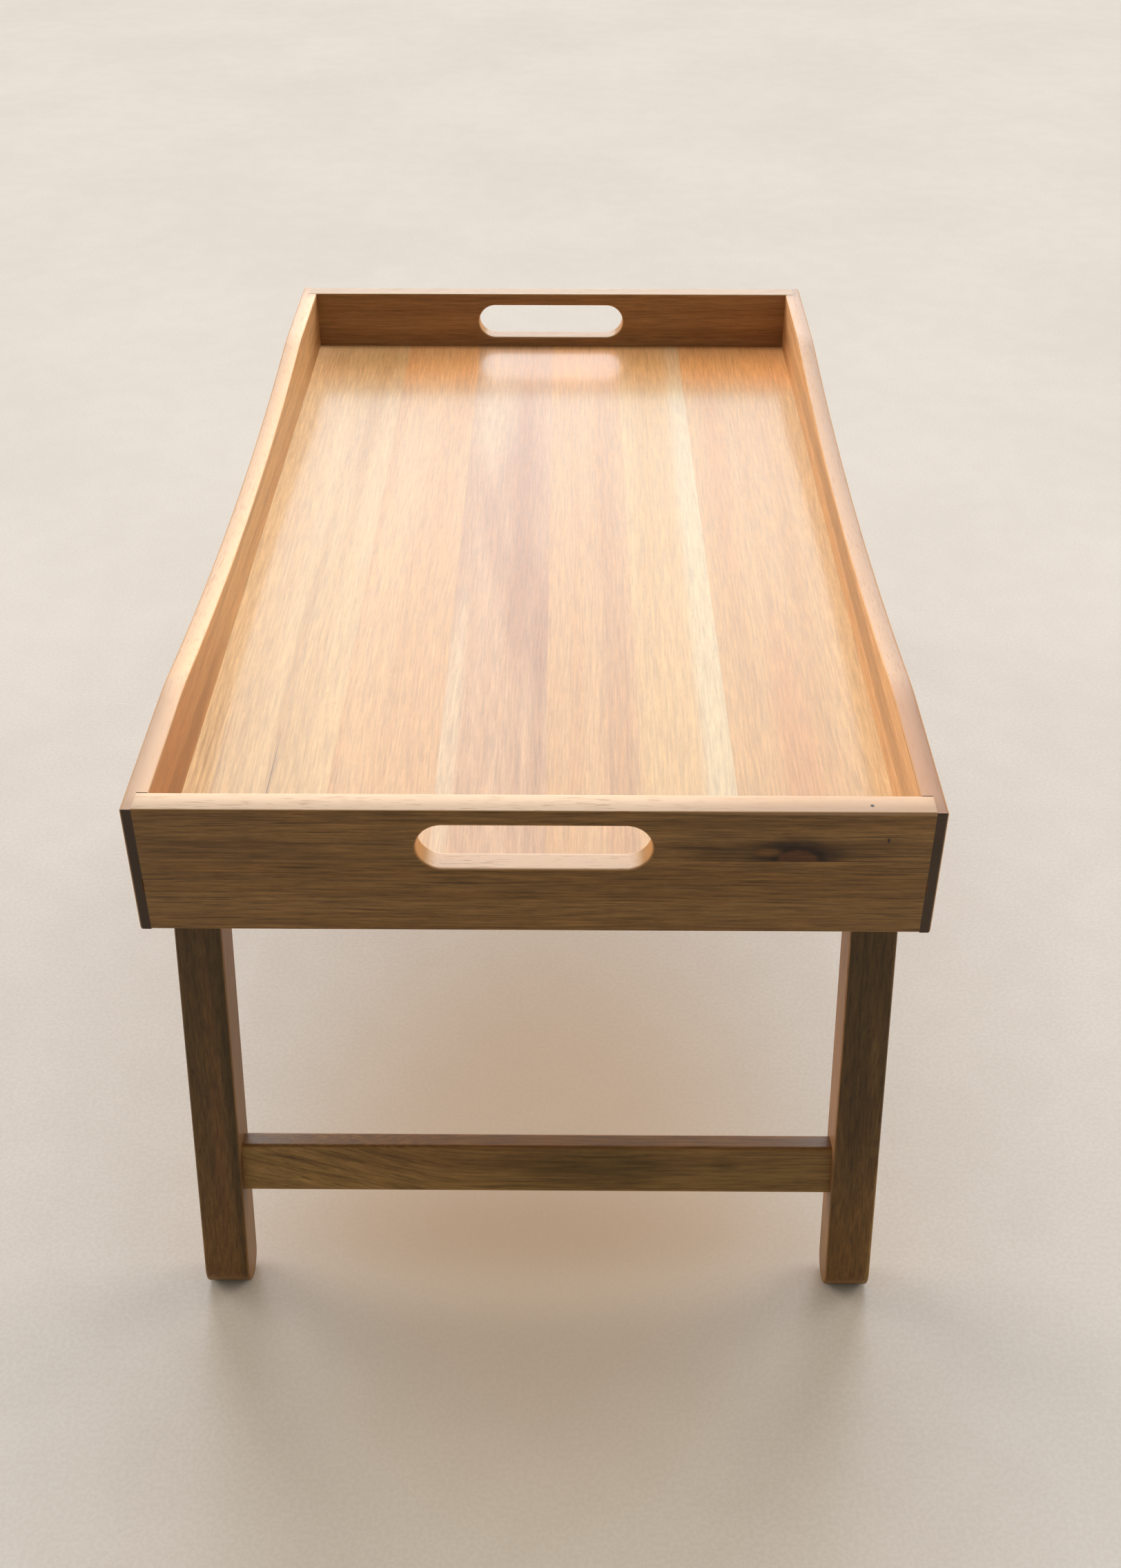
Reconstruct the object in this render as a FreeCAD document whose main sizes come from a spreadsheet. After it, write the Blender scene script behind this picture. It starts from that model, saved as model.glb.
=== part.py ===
import FreeCAD, Part
import math
import os

import Sketcher
from FreeCAD import Placement, Rotation, Vector

# Bed tray table in acacia: a shallow tray with scooped side boards, two end
# panels with handle holes, a floor of edge-glued staves, and two leg frames
# that fold flat under the floor.
#
# Frame: millimetres, +Z up, origin on the ground under the middle of the
# table. +Y runs along the tray, from the near end (-Y) to the far end (+Y),
# and +X points to the right of someone looking along +Y.

NEAR, FAR = -1, 1
LEFT, RIGHT = -1, 1

# ---------------------------------------------------------------- sizes

# Each size is set here once: name, value, what it is.
SIZES = (
    ("tray_length", 602, "side board, end to end"),
    ("tray_width", 340, "over the outer faces of the side boards"),
    ("board_height", 64, "height of the side boards and end panels"),
    ("side_thickness", 10, "side board"),
    ("end_thickness", 12, "end panel"),
    ("rabbet_depth", 5, "how far an end panel is let into a side board"),
    ("scoop_dip", 10.2, "dip of a side board's top edge at mid-length"),
    ("scoop_radius", 2100, "radius of that scooped edge"),
    ("scoop_blend", 220, "radius that eases the scoop into the level ends"),
    ("rim_round", 0.8, "eased arrises of boards and panels"),
    ("side_round", 1.5, "rounded outer edges of a side board"),
    ("floor_depth", 36.8, "from the rim down to the tray floor"),
    ("floor_thickness", 6.5, "floor staves"),
    ("floor_play", 0.5, "room for the floor to swell in its grooves"),
    ("groove_play", 0.1, "groove height over the floor's thickness"),
    ("side_groove", 5.5, "depth of the floor groove in a side board"),
    ("end_groove", 5, "depth of the floor groove in an end panel"),
    ("stave_width_2", 48.4, "floor stave, counted from the left"),
    ("stave_width_3", 50, "floor stave"),
    ("stave_width_4", 44, "floor stave"),
    ("stave_width_5", 42.4, "floor stave"),
    ("stave_width_6", 42, "floor stave"),
    ("stave_width_7", 34, "floor stave; the first and widest takes what is left"),
    ("glue_line_skew", 3, "how far the floor's glue lines lean over its length"),
    ("handle_length", 98.5, "handle hole, end to end"),
    ("handle_height", 22.5, "handle hole"),
    ("handle_drop", 19.3, "from the rim down to the middle of the hole"),
    ("handle_round", 1.5, "rounded edges of the handle hole"),
    ("strip_seam_drop", 25.5, "from the rim to the glue line of an end panel"),
    ("leg_width", 21, "leg, across the table"),
    ("leg_depth", 22, "leg, along the table; its ends are half round"),
    ("leg_reach", 204, "from a leg's pivot to the middle of its foot round"),
    ("leg_round", 1.2, "eased arrises of a leg"),
    ("leg_gap", 1.5, "between a leg and the side board"),
    ("foot_flat_depth", 0.4, "cut off the round foot where it stands"),
    ("pivot_inset", 25.7, "from the tray's end to the pivot"),
    ("stow_gap", 0.5, "between a folded leg and the floor"),
    ("stop_gap", 0.2, "between an open leg and the edge that stops it"),
    ("stretcher_height", 25, "stretcher, along the leg"),
    ("stretcher_thickness", 12, "stretcher"),
    ("stretcher_drop", 149, "from the pivot to the stretcher, along the leg"),
    ("stretcher_round", 2, "eased edges of a stretcher"),
    ("dowel_diameter", 6, "dowel between stretcher and leg"),
    ("dowel_length", 26, "half of it in the leg, half in the stretcher"),
    ("dowel_pitch", 12, "between the two dowels of a joint"),
    ("dowel_play", 0.05, "glue room round a dowel"),
    ("dowel_end_play", 0.5, "glue room past each end of a dowel"),
    ("screw_diameter", 5, "shank of a pivot screw"),
    ("screw_length", 30, "under the head"),
    ("screw_head_diameter", 9.5, "pivot screw"),
    ("screw_head_height", 3, "pivot screw"),
    ("screw_head_round", 1.8, "domed edge of that head"),
    ("screw_socket_size", 3, "hexagon socket, across its flats"),
    ("screw_socket_depth", 1.8, "hexagon socket"),
    ("screw_point", 0.6, "chamfer at the screw's tip"),
    ("running_play", 0.05, "between the screw's shank and the leg, all round"),
    ("thread_play", 0.05, "between screw and insert, all round"),
    ("hardware_play", 0.1, "end play beside each washer"),
    ("washer_diameter", 12, "both kinds of washer"),
    ("washer_thickness", 1, "washer under a screw head"),
    ("insert_diameter", 8, "threaded insert"),
    ("insert_length", 8, "threaded insert"),
    ("insert_play", 0.05, "between an insert and its hole, all round"),
    ("brad_diameter", 1.3, "brad through a side board into an end panel"),
    ("brad_length", 25, "brad"),
    ("brad_sink", 0.4, "how far a brad is driven below the board's face"),
    ("brad_play", 0.02, "round a brad"),
    ("brad_first_drop", 10, "from the rim to the first brad"),
    ("brad_pitch", 20, "between the brads of a corner"),
)
STAVE_COUNT = 7
BRADS_IN_A_CORNER = 3

doc = FreeCAD.newDocument("bed_tray_table")
sheet = doc.addObject("Spreadsheet::Sheet", "Sizes")
for row, (alias, number, meaning) in enumerate(SIZES, start=1):
    sheet.set(f"A{row}", meaning)
    sheet.set(f"B{row}", str(number))
    sheet.setAlias(f"B{row}", alias)
doc.recompute()

# Values that follow from the sizes: name, formula.
FOLLOWING = (
    ("panel_width", "Sizes.tray_width - 2 * (Sizes.side_thickness - Sizes.rabbet_depth)"),
    ("side_inner", "Sizes.tray_width / 2 - Sizes.side_thickness"),
    ("floor_width", "2 * (Derived.side_inner + Sizes.side_groove - Sizes.floor_play)"),
    ("floor_length",
     "Sizes.tray_length - 2 * (Sizes.end_thickness - Sizes.end_groove + Sizes.floor_play)"),
    ("floor_underside_drop", "Sizes.floor_depth + Sizes.floor_thickness"),
    ("leg_outer", "Derived.side_inner - Sizes.leg_gap"),
    ("leg_inner", "Derived.leg_outer - Sizes.leg_width"),
    ("pivot_drop", "Derived.floor_underside_drop + Sizes.stow_gap + Sizes.leg_depth / 2"),
    ("pivot_y", "Sizes.tray_length / 2 - Sizes.pivot_inset"),
    ("stop_run", "Sizes.pivot_inset - Sizes.end_thickness"),
    ("stop_fall", "Sizes.board_height - Derived.pivot_drop"),
    ("stop_distance", "sqrt(Derived.stop_run ^ 2 + Derived.stop_fall ^ 2)"),
)
# An open leg leans on the bottom inner edge of the end panel, and so the
# place of its pivot sets how far it splays.
SPLAY = (
    "acos((Sizes.leg_depth / 2 + Sizes.stop_gap) / Derived.stop_distance)"
    " - atan(Derived.stop_fall / Derived.stop_run)"
)
PIVOT_HEIGHT = "Sizes.leg_reach * cos(Derived.splay) + Sizes.leg_depth / 2 - Sizes.foot_flat_depth"

derived = doc.addObject("App::VarSet", "Derived")
for name, formula in FOLLOWING:
    derived.addProperty("App::PropertyFloat", name)
    derived.setExpression(name, formula)
derived.addProperty("App::PropertyAngle", "splay")
derived.setExpression("splay", SPLAY)
derived.addProperty("App::PropertyFloat", "pivot_z")
derived.setExpression("pivot_z", PIVOT_HEIGHT)
derived.addProperty("App::PropertyFloat", "rim_z")
derived.setExpression("rim_z", "Derived.pivot_z + Derived.pivot_drop")
doc.recompute()

# -------------------------------------------------------------- helpers

TOUCH = 0.001       # two places closer than this are the same
OVERRUN = "1"       # how far a cut runs past the face that it opens


def value(formula):
    """Present number of an expression."""
    return float(sheet.evalExpression(formula))


def sketch_on(body, role, lift="0", turn=None):
    """New sketch on one of the body's own planes, lifted along its normal."""
    sketch = body.newObject("Sketcher::SketchObject", f"{body.Name}_sketch")
    plane = next(f for f in body.Origin.OriginFeatures if f.Role == role)
    sketch.AttachmentSupport = (plane, [""])
    sketch.MapMode = "FlatFace"
    if turn:
        axis, angle = turn
        sketch.AttachmentOffset = Placement(Vector(), Rotation(axis, value(f"{angle} / 1deg")))
        sketch.setExpression("AttachmentOffset.Rotation.Angle", angle)
    sketch.setExpression("AttachmentOffset.Base.z", lift)
    return sketch


def dimension(sketch, kind, formula, *where):
    """Dimension held to an expression."""
    index = sketch.addConstraint(Sketcher.Constraint(kind, *where, value(formula)))
    sketch.setExpression(f"Constraints[{index}]", formula)


def outline(sketch, *corners):
    """Closed outline of straight lines through corners given as expressions."""
    first = sketch.GeometryCount
    points = [Vector(value(x), value(y), 0) for x, y in corners]
    for here, there in zip(points, points[1:] + points[:1]):
        sketch.addGeometry(Part.LineSegment(here, there), False)
    for i, (x, y) in enumerate(corners):
        following = first + (i + 1) % len(corners)
        sketch.addConstraint(Sketcher.Constraint("Coincident", first + i, 2, following, 1))
        dimension(sketch, "DistanceX", x, first + i, 1)
        dimension(sketch, "DistanceY", y, first + i, 1)


def rectangle(sketch, left, right, low, high):
    """Rectangle between four expressions."""
    outline(sketch, (left, low), (right, low), (right, high), (left, high))


def disc(sketch, x, y, diameter):
    """Circle about a centre given as expressions."""
    centre = Vector(value(x), value(y), 0)
    circle = sketch.addGeometry(Part.Circle(centre, Vector(0, 0, 1), value(diameter) / 2), False)
    dimension(sketch, "DistanceX", x, circle, 3)
    dimension(sketch, "DistanceY", y, circle, 3)
    dimension(sketch, "Diameter", diameter, circle)


def slot(sketch, start, end, radius):
    """Two straight sides joined by half rounds about the start and the end."""
    centres = [Vector(value(x), value(y), 0) for x, y in (start, end)]
    heading = math.atan2(centres[1].y - centres[0].y, centres[1].x - centres[0].x)
    quarter = math.pi / 2
    rounds = []
    for centre, towards in zip(centres, (heading + math.pi, heading)):
        circle = Part.Circle(centre, Vector(0, 0, 1), value(radius))
        arc = Part.ArcOfCircle(circle, towards - quarter, towards + quarter)
        rounds.append(sketch.addGeometry(arc, False))
    arcs = [sketch.Geometry[i] for i in rounds]
    upper = sketch.addGeometry(Part.LineSegment(arcs[1].EndPoint, arcs[0].StartPoint), False)
    lower = sketch.addGeometry(Part.LineSegment(arcs[0].EndPoint, arcs[1].StartPoint), False)
    for line, arc_before, arc_after in ((upper, 1, 0), (lower, 0, 1)):
        sketch.addConstraint(Sketcher.Constraint("Tangent", rounds[arc_before], 2, line, 1))
        sketch.addConstraint(Sketcher.Constraint("Tangent", line, 2, rounds[arc_after], 1))
    for arc, (x, y) in zip(rounds, (start, end)):
        dimension(sketch, "DistanceX", x, arc, 3)
        dimension(sketch, "DistanceY", y, arc, 3)
        dimension(sketch, "Radius", radius, arc)


def pad(body, sketch, length, side_type="One side", reverse=False):
    """Sketch raised along its normal."""
    feature = body.newObject("PartDesign::Pad", f"{body.Name}_pad")
    feature.Profile = sketch
    feature.SideType = side_type
    feature.Reversed = reverse
    feature.setExpression("Length", length)
    doc.recompute()
    return feature


def pocket(body, sketch, depth=None, reverse=False):
    """Sketch cut out: to a depth against its normal, or right through both ways."""
    before = body.Shape.Volume
    feature = body.newObject("PartDesign::Pocket", f"{body.Name}_pocket")
    feature.Profile = sketch
    feature.Reversed = reverse
    if depth is None:
        feature.SideType = "Two sides"
        feature.Type = "ThroughAll"
        feature.Type2 = "ThroughAll"
    else:
        feature.setExpression("Length", depth)
    doc.recompute()
    if body.Shape.Volume > before - TOUCH:
        raise RuntimeError(f"{body.Label}: {feature.Name} cuts nothing")
    return feature


def mirror_across(body, feature, role):
    """Feature repeated on the other side of one of the body's own planes."""
    before = body.Shape.Volume
    mirrored = body.newObject("PartDesign::Mirrored", f"{body.Name}_mirror")
    mirrored.Originals = [feature]
    plane = next(f for f in body.Origin.OriginFeatures if f.Role == role)
    mirrored.MirrorPlane = (plane, [""])
    body.Tip = mirrored
    doc.recompute()
    if body.Shape.Volume > before - TOUCH:
        raise RuntimeError(f"{body.Label}: {mirrored.Name} cuts nothing")


def round_edges(body, radius, wanted):
    """Fillet on the edges whose bounding box passes the test."""
    base = body.Tip
    names = [f"Edge{i}" for i, edge in enumerate(base.Shape.Edges, start=1)
             if wanted(edge.BoundBox)]
    if not names:
        raise RuntimeError(f"{body.Label}: no edge to round")
    feature = body.newObject("PartDesign::Fillet", f"{body.Name}_fillet")
    feature.Base = (base, names)
    feature.setExpression("Radius", radius)
    doc.recompute()


def place(piece, x="0", y="0", z="0", axis=Vector(0, 0, 1), angle=None):
    """Piece put at expressions, turned about an axis by a number or an expression."""
    turn = 0 if angle is None else angle
    if isinstance(turn, str):
        piece.Placement = Placement(Vector(), Rotation(axis, value(f"{turn} / 1deg")))
        piece.setExpression("Placement.Rotation.Angle", turn)
    else:
        piece.Placement = Placement(Vector(), Rotation(axis, turn))
    piece.setExpression("Placement.Base.x", x)
    piece.setExpression("Placement.Base.y", y)
    piece.setExpression("Placement.Base.z", z)
    return piece


def rod(name, x, y, z, diameter, length):
    """Cylinder that runs from x towards +X."""
    cylinder = doc.addObject("Part::Cylinder", name)
    cylinder.setExpression("Radius", f"({diameter}) / 2")
    cylinder.setExpression("Height", length)
    return place(cylinder, x, y, z, Vector(0, 1, 0), 90)


def ring(name, x, y, z, outer, bore, length):
    """Washer or sleeve that runs from x towards +X."""
    cut = doc.addObject("Part::Cut", name)
    cut.Base = rod(f"{name}_blank", x, y, z, outer, length)
    cut.Tool = rod(f"{name}_bore", x, y, z, bore, length)
    return cut


def group(name, solids):
    """Like pieces kept together as one node of separate solids."""
    together = doc.addObject("Part::Compound", name)
    together.Links = solids
    return together


# ---------------------------------------------------------- tray pieces

RIM = "Derived.rim_z"
BRAD_HOLE = "Sizes.brad_diameter + 2 * Sizes.brad_play"


def brad_drops():
    """How far each brad of a corner lies below the rim."""
    return [f"Sizes.brad_first_drop + {i} * Sizes.brad_pitch" for i in range(BRADS_IN_A_CORNER)]


def scooped_outline(sketch):
    """Board whose top edge is level at its ends and scooped between them."""
    half, foot = "Sizes.tray_length / 2", "-Sizes.board_height"
    right, height = value(half), value("Sizes.board_height")
    scoop, dip = value("Sizes.scoop_radius"), value("Sizes.scoop_dip")
    blend = value("Sizes.scoop_blend")
    crest = math.sqrt((scoop + blend) ** 2 - (scoop - dip + blend) ** 2)
    lean = math.asin(crest / (scoop + blend))
    quarter, upright = math.pi / 2, Vector(0, 0, 1)

    def arc(x, y, radius, start, end):
        circle = Part.Circle(Vector(x, y, 0), upright, radius)
        return sketch.addGeometry(Part.ArcOfCircle(circle, start, end), False)

    def line(x1, y1, x2, y2):
        return sketch.addGeometry(Part.LineSegment(Vector(x1, y1, 0), Vector(x2, y2, 0)), False)

    bottom = line(-right, -height, right, -height)
    right_end = line(right, -height, right, 0)
    right_level = line(right, 0, crest, 0)
    right_blend = arc(crest, -blend, blend, quarter, quarter + lean)
    dish = arc(0, scoop - dip, scoop, 3 * quarter - lean, 3 * quarter + lean)
    left_blend = arc(-crest, -blend, blend, quarter - lean, quarter)
    left_level = line(-crest, 0, -right, 0)
    left_end = line(-right, 0, -right, -height)

    straight = (left_level, left_end, bottom, right_end, right_level)
    for before, after in zip(straight, straight[1:]):
        sketch.addConstraint(Sketcher.Constraint("Coincident", before, 2, after, 1))
    smooth = ((right_level, 2, right_blend, 1), (right_blend, 2, dish, 2),
              (dish, 1, left_blend, 1), (left_blend, 2, left_level, 1))
    for joint in smooth:
        sketch.addConstraint(Sketcher.Constraint("Tangent", *joint))
    for level in (left_level, right_level):
        sketch.addConstraint(Sketcher.Constraint("Horizontal", level))
    corners = ((bottom, f"-{half}", foot), (right_end, half, foot),
               (right_level, half, "0"), (left_end, f"-{half}", "0"))
    for edge, x, y in corners:
        dimension(sketch, "DistanceX", x, edge, 1)
        dimension(sketch, "DistanceY", y, edge, 1)
    dimension(sketch, "DistanceX", "0", dish, 3)
    dimension(sketch, "DistanceY", "Sizes.scoop_radius - Sizes.scoop_dip", dish, 3)
    dimension(sketch, "Radius", "Sizes.scoop_radius", dish)
    for blended in (left_blend, right_blend):
        dimension(sketch, "Radius", "Sizes.scoop_blend", blended)


def side_board(name, side):
    """Side board, drawn with its inner face at X 0 and its rim at Z 0."""
    body = doc.addObject("PartDesign::Body", name)
    half = "Sizes.tray_length / 2"

    profile = sketch_on(body, "YZ_Plane")
    scooped_outline(profile)
    pad(body, profile, "Sizes.side_thickness")

    thickness = value("Sizes.side_thickness")
    round_edges(body, "Sizes.side_round", lambda box: box.XMin > thickness - TOUCH)
    round_edges(body, "Sizes.rim_round", lambda box: box.XMax < TOUCH and box.YLength > thickness)

    rabbets = sketch_on(body, "XY_Plane")
    shoulder = f"{half} - Sizes.end_thickness"
    rectangle(rabbets, f"-{OVERRUN}", "Sizes.rabbet_depth", shoulder, f"{half} + {OVERRUN}")
    rectangle(rabbets, f"-{OVERRUN}", "Sizes.rabbet_depth",
              f"-{half} - {OVERRUN}", f"-({shoulder})")
    pocket(body, rabbets)

    groove = sketch_on(body, "XZ_Plane")
    rectangle(groove, f"-{OVERRUN}", "Sizes.side_groove",
              "-Derived.floor_underside_drop", "-Sizes.floor_depth + Sizes.groove_play")
    pocket(body, groove)

    insert_holes = sketch_on(body, "YZ_Plane")
    for end in (NEAR, FAR):
        disc(insert_holes, f"{end} * Derived.pivot_y", "-Derived.pivot_drop",
             "Sizes.insert_diameter + 2 * Sizes.insert_play")
    pocket(body, insert_holes, "Sizes.insert_length + Sizes.insert_play", reverse=True)

    brad_holes = sketch_on(body, "YZ_Plane")
    for drop in brad_drops():
        for end in (NEAR, FAR):
            disc(brad_holes, f"{end} * ({half} - Sizes.end_thickness / 2)", f"-({drop})", BRAD_HOLE)
    pocket(body, brad_holes)

    turn = 0 if side == RIGHT else 180
    return place(body, f"{side} * Derived.side_inner", "0", RIM, angle=turn)


def end_panel_strip(name, end, is_upper):
    """One of the two glued strips of an end panel.

    The whole panel is drawn, with its outer face at Y 0 and its rim at Z 0,
    and is then cut back to the strip above or below the glue line."""
    body = doc.addObject("PartDesign::Body", name)
    half = "Derived.panel_width / 2"

    blank = sketch_on(body, "XZ_Plane")
    rectangle(blank, f"-{half}", half, "-Sizes.board_height", "0")
    pad(body, blank, "Sizes.end_thickness", reverse=True)

    handle = sketch_on(body, "XZ_Plane")
    reach = "(Sizes.handle_length - Sizes.handle_height) / 2"
    slot(handle, (f"-{reach}", "-Sizes.handle_drop"), (reach, "-Sizes.handle_drop"),
         "Sizes.handle_height / 2")
    pocket(body, handle)
    hole_half = value("Sizes.handle_length / 2") + TOUCH
    round_edges(body, "Sizes.handle_round",
                lambda box: box.YLength < TOUCH and box.XMax < hole_half and box.XMin > -hole_half)

    panel_width = value("Derived.panel_width")
    round_edges(body, "Sizes.rim_round", lambda box: box.XLength > panel_width - TOUCH)

    groove = sketch_on(body, "YZ_Plane")
    rectangle(groove, "Sizes.end_thickness - Sizes.end_groove",
              f"Sizes.end_thickness + {OVERRUN}",
              "-Derived.floor_underside_drop", "-Sizes.floor_depth + Sizes.groove_play")
    pocket(body, groove)

    grip = "Sizes.brad_length + Sizes.brad_sink - (Sizes.side_thickness - Sizes.rabbet_depth)"
    brad_holes = sketch_on(body, "YZ_Plane", lift=half)
    for drop in brad_drops():
        disc(brad_holes, "Sizes.end_thickness / 2", f"-({drop})", BRAD_HOLE)
    drilled = pocket(body, brad_holes, grip)
    mirror_across(body, drilled, "YZ_Plane")

    rest = sketch_on(body, "XZ_Plane")
    seam = "-Sizes.strip_seam_drop"
    low, high = (f"-Sizes.board_height - {OVERRUN}", seam) if is_upper else (seam, OVERRUN)
    rectangle(rest, f"-{half} - {OVERRUN}", f"{half} + {OVERRUN}", low, high)
    pocket(body, rest)

    turn = 0 if end == NEAR else 180
    return place(body, "0", f"{end} * Sizes.tray_length / 2", RIM, angle=turn)


def glue_line(number):
    """X, at mid-length, of the glue line on the right of a stave."""
    widths = "".join(f" - Sizes.stave_width_{i}" for i in range(number + 1, STAVE_COUNT + 1))
    return f"Derived.floor_width / 2{widths}"


def floor_stave(name, number):
    """Floor stave between two glue lines, which lean a little."""
    body = doc.addObject("PartDesign::Body", name)
    front, back = "-Derived.floor_length / 2", "Derived.floor_length / 2"
    lean = "Sizes.glue_line_skew / 2"
    edges = []
    for line in (number - 1, number):
        if line == 0:
            edges.append(("-Derived.floor_width / 2",) * 2)
        elif line == STAVE_COUNT:
            edges.append(("Derived.floor_width / 2",) * 2)
        else:
            edges.append((f"{glue_line(line)} + {lean}", f"{glue_line(line)} - {lean}"))
    (left_front, left_back), (right_front, right_back) = edges
    plan = sketch_on(body, "XY_Plane")
    outline(plan, (left_front, front), (right_front, front), (right_back, back), (left_back, back))
    pad(body, plan, "Sizes.floor_thickness")
    return place(body, "0", "0", f"{RIM} - Derived.floor_underside_drop")


def corner_brads():
    """Brads that pin the four corners, driven in through the side boards."""
    brads = []
    half = "Sizes.tray_width / 2 - Sizes.brad_sink"
    for end in (NEAR, FAR):
        for side in (LEFT, RIGHT):
            tail = f"{half} - Sizes.brad_length" if side == RIGHT else f"-({half})"
            for drop in brad_drops():
                brads.append(rod(f"brad_{len(brads) + 1}", tail,
                                 f"{end} * (Sizes.tray_length / 2 - Sizes.end_thickness / 2)",
                                 f"{RIM} - ({drop})", "Sizes.brad_diameter", "Sizes.brad_length"))
    return group("corner_brads", brads)


# ----------------------------------------------------------- leg frames

PIVOT_Z = "Derived.pivot_z"


def hang(piece, end, x="0"):
    """Piece drawn about its pivot, hung there and splayed outwards."""
    return place(piece, x, f"{end} * Derived.pivot_y", PIVOT_Z, Vector(end, 0, 0), "Derived.splay")


def leg(name, end, side):
    """Leg, drawn upright from its pivot, its inner face at X 0."""
    body = doc.addObject("PartDesign::Body", name)
    outwards = side == RIGHT

    shape = sketch_on(body, "YZ_Plane")
    slot(shape, ("0", "0"), ("0", "-Sizes.leg_reach"), "Sizes.leg_depth / 2")
    pad(body, shape, "Sizes.leg_width", reverse=not outwards)
    round_edges(body, "Sizes.leg_round", lambda box: box.XLength < TOUCH)

    pivot_hole = sketch_on(body, "YZ_Plane")
    disc(pivot_hole, "0", "0", "Sizes.screw_diameter + 2 * Sizes.running_play")
    pocket(body, pivot_hole)

    sockets = sketch_on(body, "YZ_Plane")
    for step in (-1, 1):
        disc(sockets, "0", f"-Sizes.stretcher_drop + {step} * Sizes.dowel_pitch / 2",
             "Sizes.dowel_diameter + 2 * Sizes.dowel_play")
    pocket(body, sockets, "Sizes.dowel_length / 2 + Sizes.dowel_end_play", reverse=outwards)

    # The round foot is cut level with the ground that it stands on, so this
    # sketch is turned back by the splay.
    ground = sketch_on(body, "YZ_Plane", turn=(Vector(0, 0, -end), "Derived.splay"))
    rectangle(ground, "-Sizes.leg_reach", "Sizes.leg_reach",
              f"-{PIVOT_Z} - Sizes.leg_depth", f"-{PIVOT_Z}")
    pocket(body, ground)
    return hang(body, end, f"{side} * Derived.leg_inner")


def stretcher(name, end):
    """Stretcher between the inner faces of a frame's legs."""
    body = doc.addObject("PartDesign::Body", name)
    section = sketch_on(body, "YZ_Plane")
    rectangle(section, "-Sizes.stretcher_thickness / 2", "Sizes.stretcher_thickness / 2",
              "-Sizes.stretcher_drop - Sizes.stretcher_height / 2",
              "-Sizes.stretcher_drop + Sizes.stretcher_height / 2")
    pad(body, section, "2 * Derived.leg_inner", side_type="Symmetric")
    length = value("2 * Derived.leg_inner")
    round_edges(body, "Sizes.stretcher_round", lambda box: box.XLength > length - TOUCH)

    sockets = sketch_on(body, "YZ_Plane", lift="Derived.leg_inner")
    for step in (-1, 1):
        disc(sockets, "0", f"-Sizes.stretcher_drop + {step} * Sizes.dowel_pitch / 2",
             "Sizes.dowel_diameter + 2 * Sizes.dowel_play")
    drilled = pocket(body, sockets, "Sizes.dowel_length / 2 + Sizes.dowel_end_play")
    mirror_across(body, drilled, "YZ_Plane")
    return hang(body, end)


def frame_dowels(name, end):
    """The four dowels of a leg frame, half in a leg and half in the stretcher."""
    dowels = []
    for side in (LEFT, RIGHT):
        for step in (-1, 1):
            drop = f"(Sizes.stretcher_drop + {step} * Sizes.dowel_pitch / 2)"
            dowels.append(rod(f"{name}_{len(dowels) + 1}",
                              f"{side} * Derived.leg_inner - Sizes.dowel_length / 2",
                              f"{end} * (Derived.pivot_y + {drop} * sin(Derived.splay))",
                              f"{PIVOT_Z} - {drop} * cos(Derived.splay)",
                              "Sizes.dowel_diameter", "Sizes.dowel_length"))
    return group(name, dowels)


# ------------------------------------------------------- pivot hardware

CORNERS = [(end, side) for end in (NEAR, FAR) for side in (LEFT, RIGHT)]


def along_pivot(side, start, length):
    """X where a piece of this length begins, given its inner end on the right."""
    return start if side == RIGHT else f"-({start} + {length})"


def pivot_rings(name, start, outer, bore, length):
    """One ring round each pivot axis."""
    rings = []
    for end, side in CORNERS:
        rings.append(ring(f"{name}_{len(rings) + 1}", along_pivot(side, start, length),
                          f"{end} * Derived.pivot_y", PIVOT_Z, outer, bore, length))
    return group(name, rings)


def screw_seat():
    """X of the underside of a screw head, on the right."""
    return "Derived.leg_inner - Sizes.hardware_play - Sizes.washer_thickness"


def pivot_screw(name, end, side):
    """Pan-head screw, drawn along +X with the underside of its head at X 0."""
    body = doc.addObject("PartDesign::Body", name)
    profile = sketch_on(body, "XZ_Plane")
    head, shank = "Sizes.screw_head_diameter / 2", "Sizes.screw_diameter / 2"
    outline(profile, ("-Sizes.screw_head_height", "0"), ("Sizes.screw_length", "0"),
            ("Sizes.screw_length", f"{shank} - Sizes.screw_point"),
            ("Sizes.screw_length - Sizes.screw_point", shank),
            ("0", shank), ("0", head), ("-Sizes.screw_head_height", head))
    turned = body.newObject("PartDesign::Revolution", f"{name}_turned")
    turned.Profile = profile
    axis = next(f for f in body.Origin.OriginFeatures if f.Role == "X_Axis")
    turned.ReferenceAxis = (axis, [""])
    turned.Angle = 360
    doc.recompute()
    top = -value("Sizes.screw_head_height") + TOUCH
    round_edges(body, "Sizes.screw_head_round", lambda box: box.XMax < top)

    socket = sketch_on(body, "YZ_Plane", lift="-Sizes.screw_head_height")
    corner = "Sizes.screw_socket_size / sqrt(3)"
    outline(socket, *[(f"{corner} * cos({60 * i})", f"{corner} * sin({60 * i})") for i in range(6)])
    pocket(body, socket, "Sizes.screw_socket_depth", reverse=True)

    turn = 0 if side == RIGHT else 180
    return place(body, f"{side} * ({screw_seat()})", f"{end} * Derived.pivot_y", PIVOT_Z,
                 angle=turn)


# ------------------------------------------------------------- assembly

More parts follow.
